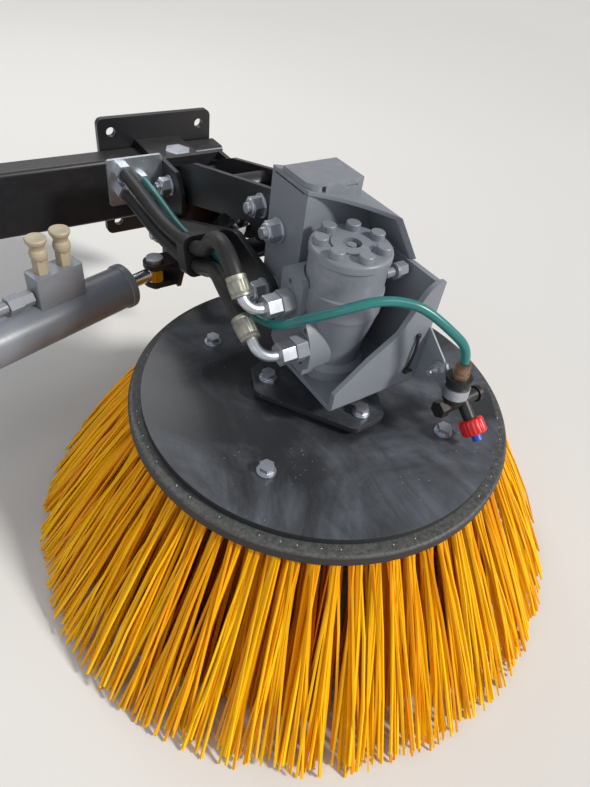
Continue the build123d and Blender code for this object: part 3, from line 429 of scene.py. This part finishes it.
# Rounded edges on the CAD's hard pieces
MERGE_DISTANCE = 0.00001
FLAT_ANGLE, BEVEL_ANGLE, EDGED_SHARP_ANGLE = math.radians(0.6), math.radians(30), math.radians(38)
BEVEL_SEGMENTS = 2
EDGE_WIDTHS = {     # millimetres
    "head_channel": 1.0, "channel_roof": 0.9, "channel_lid": 1.6, "motor_bracket": 1.0,
    "motor_housing": 1.8, "motor_cap": 0.6, "port_adapters": 1.2, "elbow_upper": 0.7,
    "elbow_lower": 0.7, "nozzle_bracket": 0.6, "nozzle_clip": 0.4, "nozzle_body": 0.7,
    "nozzle_tip": 0.6, "drain_plug": 0.8, "head_pin_upper": 0.9, "head_pins_lower": 0.9,
    "hub_plate": 1.0, "hub_bolts": 0.8, "disc_bolts": 0.8, "disc_plate": 1.0, "brush_ring": 1.2,
    "upper_link": 1.0, "lower_link": 1.0, "stop_bolt": 0.9, "hose_clamp": 1.2,
    "hose_bulkhead": 0.8, "root_pin_upper": 0.9, "root_pins_lower": 0.9, "swing_bracket": 1.2,
    "chassis_plate": 1.2, "chassis_rail": 1.0, "knuckle_ear_upper": 1.2,
    "knuckle_ear_lower": 1.2, "cylinder_outrigger": 1.0, "swing_pin": 1.0, "eye_pin": 0.8,
    "rear_pin": 0.8, "valve_block": 1.2, "valve_line": 0.8, "swing_barrel": 1.0,
    "lift_barrel": 1.0,
}


def edged(node, width):
    """Copy of a CAD node with its sharp edges rounded, in the node's place."""
    source = nodes[node].data
    mesh = bpy.data.meshes.new("edged_" + node)
    mesh.from_pydata([tuple(v.co) for v in source.vertices], [],
                     [tuple(f.vertices) for f in source.polygons])
    grown = bmesh.new()
    grown.from_mesh(mesh)
    bmesh.ops.remove_doubles(grown, verts=grown.verts, dist=MERGE_DISTANCE)
    bmesh.ops.dissolve_limit(grown, angle_limit=FLAT_ANGLE, verts=grown.verts, edges=grown.edges)
    sharp = [edge for edge in grown.edges
             if len(edge.link_faces) == 2 and edge.calc_face_angle(0) > BEVEL_ANGLE]
    bmesh.ops.bevel(grown, geom=sharp, offset=width / 1000, segments=BEVEL_SEGMENTS, profile=0.5,
                    affect="EDGES", clamp_overlap=True)
    bmesh.ops.triangulate(grown, faces=[face for face in grown.faces if len(face.verts) > 4])
    grown.to_mesh(mesh)
    grown.free()
    made = piece("edged_" + node, mesh, slots[node], bodies[node])
    mesh.set_sharp_from_angle(angle=EDGED_SHARP_ANGLE)
    weighted = made.modifiers.new("weighted", "WEIGHTED_NORMAL")
    weighted.keep_sharp = True
    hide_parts(node)


for node, width in EDGE_WIDTHS.items():
    edged(node, width)

# Hoses and the water tube, on the points of the CAD routes. The front half of each runs from its
# fitting to the clamp on the lower link, and the rear half from there to the bulkhead.
CLAMP_NEAR, CLAMP_AT, CLAMP_FAR = 181.0, 217.5, 290.0   # y of the straight run through the clamp
LINK_FALL = 89 / 336                                    # slope of the lower link and that run
LANDING_Y = 430                                         # where a line is level with its bulkhead
HOSE_X, TUBE_X = -100.0, -72.0
HOSE_RADIUS, TUBE_RADIUS = 0.011, 0.006
LINES = (   # name, slot, radius, x and z in the clamp, bulkhead point, points before the clamp
    ("hose_upper", "hose_rubber", HOSE_RADIUS, (HOSE_X, 142), (HOSE_X, 464, 140),
     ((-121.5, 59.8, 192.2), (-121.5, 85.5, 217.5), (-112, 136, 203))),
    ("hose_lower", "hose_rubber", HOSE_RADIUS, (HOSE_X, 115), (HOSE_X, 464, 105),
     ((-121.5, 42.4, 141.7), (-121.5, 80.6, 159.1), (-104, 140, 150))),
    ("water_tube", "tube_teal", TUBE_RADIUS, (TUBE_X, 128.5), (TUBE_X + 6, 468, 122),
     ((95, -144, 134), (95, -142.2, 154), (68, -125, 181), (39, -101, 205), (14, -85, 211),
      (-14, -74, 212), (-42, -64, 204), (-62, -47, 189), (-78, -26, 172), (-85, -3, 150),
      (-90, 24, 133.5), (-95, 62, 127), (-90, 118, 138))),
)
for name, slot, radius, (x, z), (end_x, end_y, end_z), lead in LINES:
    near = at(x, CLAMP_NEAR, z + (CLAMP_AT - CLAMP_NEAR) * LINK_FALL)
    middle = at(x, CLAMP_AT, z)
    far = at(x, CLAMP_FAR, z - (CLAMP_FAR - CLAMP_AT) * LINK_FALL)
    landing = at(end_x, LANDING_Y, end_z)
    front_points = [at(*point) for point in lead] + [near, middle]
    front_mesh = line_mesh(name + "_front_line", front_points, radius)
    front_line = piece(name + "_front_line", front_mesh, slot)
    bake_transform(front_line)
    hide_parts(name + "_front")
    rear_points = [middle, far, landing, at(end_x, end_y, end_z)]
    rear_mesh = line_mesh(name + "_rear_line", rear_points, radius)
    rear_line = piece(name + "_rear_line", rear_mesh, slot)
    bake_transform(rear_line)
    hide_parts(name + "_rear")


# Turned and fluted details. A profile's rows are millimetres along the piece, and the radius there.
LATHE_SIDES, LATHE_SHARP_ANGLE = 48, math.radians(40)


def lathe(name, origin, direction, profile, slot, body, look=None, sides=LATHE_SIDES, flutes=0,
          depth=0.0, fluted=None):
    """Turned piece, with waves of a depth round the part of its length that is fluted."""
    run = Vector(direction).normalized()
    across = run.orthogonal().normalized()
    third = run.cross(across)
    verts = []
    for along, radius in profile:
        cut = depth if fluted and fluted[0] <= along <= fluted[1] else 0.0
        for k in range(sides):
            turn = math.tau * k / sides
            r = radius + cut * math.cos(flutes * turn)
            spot = run * along + across * (r * math.cos(turn)) + third * (r * math.sin(turn))
            verts.append(tuple(origin + spot / 1000))
    faces = tube_faces(0, len(profile), sides)
    faces.append(tuple(reversed(range(sides))))
    faces.append(tuple(range((len(profile) - 1) * sides, len(profile) * sides)))
    mesh = bpy.data.meshes.new(name)
    mesh.from_pydata(verts, [], faces)
    made = piece(name, mesh, slot, body, look)
    mesh.set_sharp_from_angle(angle=LATHE_SHARP_ANGLE)
    return made


# Crimps of the hoses: plain collars at both ends, twelve flutes between them
CRIMP_START = ((-1, 7.4), (-0.8, 11.6), (0, 12.8), (4, 13.0), (4.6, 12.55), (5.4, 12.55), (6, 13.0))
CRIMP_END = ((-7, 13.0), (-6.4, 12.55), (-5.6, 12.55), (-5, 12.9), (-0.6, 12.8), (0, 12.2),
             (0.2, 11.1))
CRIMPS = (  # name, elbow's corner, its rise in degrees, and the crimp's start and end from there
    ("crimp_upper", (-121.5, 27, 160), 44.5, 20, 46),
    ("crimp_lower", (-121.5, -14, 116), 24.5, 30, 62),
)
for name, corner, rise, first, last in CRIMPS:
    run = (0, math.cos(math.radians(rise)), math.sin(math.radians(rise)))
    profile = [(first + along, radius) for along, radius in CRIMP_START]
    profile += [(last + along, radius) for along, radius in CRIMP_END]
    lathe(name, at(*corner), run, profile, "zinc", "head", crimp_plate, sides=96, flutes=12,
          depth=0.32, fluted=(first + 5.8, last - 6.8))

# Locknut collars and bare threads of the link pins, in millimetres of the frame
NUT_COLLAR = [(-0.5, 12.4), (1.6, 12.2), (2.8, 11.0), (3.1, 9.0), (2.6, 8.3), (2.6, 7.6)]
THREAD_TURN, THREAD_PITCH, THREAD_TURNS = ((2.8, 7.5), (3.3, 7.95), (3.9, 7.5)), 1.2, 4
THREAD_END = (8.3, 6.6)
nut_profile = NUT_COLLAR + [(along + turn * THREAD_PITCH, radius) for turn in range(THREAD_TURNS)
                            for along, radius in THREAD_TURN] + [THREAD_END]
NUTS = (    # name, place, which way it points along x, body
    ("head_upper", (-78.5, -540, 158), -1, "head"),
    ("root_upper", (-78.5, -204, 69), -1, "swing_arm"),
    ("head_left", (-94.5, -544, 72), -1, "head"),
    ("head_right", (94.5, -544, 72), 1, "head"),
    ("root_left", (-94.5, -208, -17), -1, "swing_arm"),
    ("root_right", (94.5, -208, -17), 1, "swing_arm"),
    ("stop", (-63.5, -473.8, 158), -1, "upper_link"),
)
for name, spot, sense, body in NUTS:
    lathe("locknut_" + name, Vector(spot) / 1000, (sense, 0, 0), nut_profile, "zinc", body)

# Ribbed cap of the spray nozzle
SPRAY_ROOT, SPRAY_RUN = at(115, -150, 66), (0, -46, -36)
CAP_PROFILE = ((28, 8.6), (28.2, 13.8), (29.2, 15.6), (31, 16.4), (32, 16.6), (47, 16.6),
               (48.6, 16.0), (50, 14.2), (50.1, 6.6))
ribbed_cap = lathe("ribbed_cap", SPRAY_ROOT, SPRAY_RUN, CAP_PROFILE, "red_plastic", "head",
                   sides=144, flutes=18, depth=0.5, fluted=(31.5, 47.5))
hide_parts("nozzle_cap")

# Cable tie on the outboard wall, with its lock, its loop and its tail
TIE_POINTS = ((69, -83, 141), (70, -84.5, 136), (68.5, -86.5, 112), (67, -84.5, 87), (66, -83, 82))
TIE_RADIUS, TIE_ROUNDING, TIE_ROUNDING_SEGMENTS = 0.0019, 0.0011, 3
TIE_LUMPS = (   # name, place, size
    ("tie_lock", (66, -84.6, 83), (9, 5, 7)),
    ("tie_loop", (69, -84.2, 141), (6, 4, 6)),
    ("tie_tail", (73, -84.4, 80), (8, 3, 3.4)),
)
tie_mesh = line_mesh("tie_strap", [at(*point) for point in TIE_POINTS], TIE_RADIUS)
piece("tie_strap", tie_mesh, "black_plastic", "head")
for name, spot, size in TIE_LUMPS:
    stretch = Matrix.Diagonal((*[side / 1000 for side in size], 1))
    lump = bmesh.new()
    bmesh.ops.create_cube(lump, size=1, matrix=Matrix.Translation(at(*spot)) @ stretch)
    bmesh.ops.bevel(lump, geom=lump.edges[:], offset=TIE_ROUNDING,
                    segments=TIE_ROUNDING_SEGMENTS, profile=0.5, affect="EDGES")
    lump_mesh = bpy.data.meshes.new(name)
    lump.to_mesh(lump_mesh)
    lump.free()
    piece(name, lump_mesh, "black_plastic", "head")

# Ends of the tufts' wires, just inside the ring's chamfer. Some are buried and don't show.
OUTER_TUFTS = 70
WIRE_RADIUS, WIRE_SIDES, WIRE_SEED = 262.5, 8, 21
WIRE_PROFILE = ((0.0, 1.1), (0.4, 1.0), (0.6, 0.5))     # height and radius
WIRE_STRAY, WIRE_BURIED = 0.9, 0.45                     # degrees, and share of the tufts


def tuft_turn(index, count, stray=0.0):
    """Angle of one tuft of a row round the motor axis."""
    return math.radians(180 / count + 360 * index / count + stray)


verts, faces = [], []
rng = random.Random(WIRE_SEED)
for tuft in range(OUTER_TUFTS):
    turn = tuft_turn(tuft, OUTER_TUFTS, rng.uniform(-WIRE_STRAY, WIRE_STRAY))
    if rng.random() < WIRE_BURIED:
        continue
    centre = at(WIRE_RADIUS * math.cos(turn), WIRE_RADIUS * math.sin(turn), 0)
    base = len(verts)
    for height, radius in WIRE_PROFILE:
        for k in range(WIRE_SIDES):
            a = math.tau / WIRE_SIDES * k
            offset = Vector((radius * math.cos(a), radius * math.sin(a), height))
            verts.append(tuple(centre + offset / 1000))
    faces += tube_faces(base, len(WIRE_PROFILE), WIRE_SIDES)
    faces.append(tuple(range(len(verts) - WIRE_SIDES, len(verts))))
wire_mesh = bpy.data.meshes.new("wire_ends")
wire_mesh.from_pydata(verts, [], faces)
piece("wire_ends", wire_mesh, "zinc", "broom")

# Bristles: every tuft is a bundle of filaments that fans out towards its tips. Millimetres from
# the motor axis and the ring's top, apart from the filament's half width, in metres.
ROOT_Z, TIP_Z = -17.5, -270
ROOT_STRAY_OUT, ROOT_STRAY_ALONG = 4, 7.2
TIP_SHORT, TIP_LONG, TIP_LIFT = -26, 7, 26      # limits of a filament's tip
TIP_OUT, TIP_UP, TRIM = (-4, 9), (0, 8), (-0.02, 0.04)  # mean and deviation, as in the next line
BOW_OUT, BOW_ALONG = (3, 3), (0, 2)
SWAY_SHARE, SIDE_LIMIT = 0.25, 2.2              # of the row's spread
TONE_SPREAD = 0.28
HALF_LEAST, HALF_MOST = 0.0017, 0.0023
FILAMENT_SIDES, FILAMENT_STEPS = 4, 3
ROOT_FADE = 2.4                                 # the root's shade ends at 1 / 2.4 of the length


def within(low, value, high):
    """The value, kept between low and high."""
    return max(low, min(high, value))


def bristle_row(name, count, root, tip, per_tuft, spread, lit, seed):
    """Row of tufts between two radii; lit is the mean tone, from 0, fully in painted shade, to 1,
    painted as lit.
    """
    rng = random.Random(seed)
    verts, faces, tones, root_shades = [], [], [], []
    for tuft in range(count):
        turn = tuft_turn(tuft, count)
        out = Vector((math.cos(turn), math.sin(turn), 0))
        along = Vector((-math.sin(turn), math.cos(turn), 0))
        sway = rng.gauss(0, spread * SWAY_SHARE)
        for _ in range(per_tuft):
            start = (out * (root + rng.uniform(-ROOT_STRAY_OUT, ROOT_STRAY_OUT))
                     + along * rng.uniform(-ROOT_STRAY_ALONG, ROOT_STRAY_ALONG)
                     + Vector((0, 0, ROOT_Z)))
            side = within(-SIDE_LIMIT * spread, rng.gauss(sway, spread), SIDE_LIMIT * spread)
            reach = tip + within(TIP_SHORT, rng.gauss(*TIP_OUT), TIP_LONG)
            drop = TIP_Z + min(TIP_LIFT, abs(rng.gauss(*TIP_UP)))
            end = out * reach + along * side + Vector((0, 0, drop))
            end = start + (end - start) * min(1, 1 - max(0, rng.gauss(*TRIM)))
            bow = out * rng.gauss(*BOW_OUT) + along * rng.gauss(*BOW_ALONG)
            # Painted light and shade: each filament's tone is spread at random round the row's lit
            # mean.
            tone = within(0, rng.gauss(lit, TONE_SPREAD), 1)
            half = rng.uniform(HALF_LEAST, HALF_MOST)
            run = (end - start).normalized()
            u = run.cross(along).normalized()
            v = run.cross(u).normalized()
            twist = rng.uniform(0, math.tau / FILAMENT_SIDES)
            base = len(verts)
            for step in range(FILAMENT_STEPS + 1):
                t = step / FILAMENT_STEPS
                centre = start.lerp(end, t) + bow * (4 * t * (1 - t))
                for k in range(FILAMENT_SIDES):
                    a = twist + math.tau / FILAMENT_SIDES * k
                    offset = (u * math.cos(a) + v * math.sin(a)) * half
                    verts.append(tuple(AXIS + centre / 1000 + offset))
                    tones.append(tone)
                    # Painted shadow of the ring on the root, fading out along the filament.
                    root_shades.append(max(0.0, 1 - t * ROOT_FADE))
            faces += tube_faces(base, FILAMENT_STEPS + 1, FILAMENT_SIDES)
            faces.append(tuple(range(len(verts) - FILAMENT_SIDES, len(verts))))
    mesh = bpy.data.meshes.new(name)
    mesh.from_pydata(verts, [], faces)
    for label, values in (("tone", tones), ("root_shade", root_shades)):
        attribute = mesh.attributes.new(label, "FLOAT", "POINT")
        attribute.data.foreach_set("value", values)
    return piece(name, mesh, "bristle", "broom", smooth=False)


# The outer row is painted as lit; the middle and inner rows, which it shades, get painted shade.
tufts_outer = bristle_row("tufts_outer", count=OUTER_TUFTS, root=264, tip=420, per_tuft=16,
                          spread=11, lit=0.78, seed=11)
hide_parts("bristles_outer")
tufts_middle = bristle_row("tufts_middle", count=50, root=225, tip=356, per_tuft=25,
                           spread=13, lit=0.25, seed=12)
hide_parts("bristles_middle")
tufts_inner = bristle_row("tufts_inner", count=38, root=186, tip=296, per_tuft=26,
                          spread=13, lit=0.1, seed=13)
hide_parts("bristles_inner")
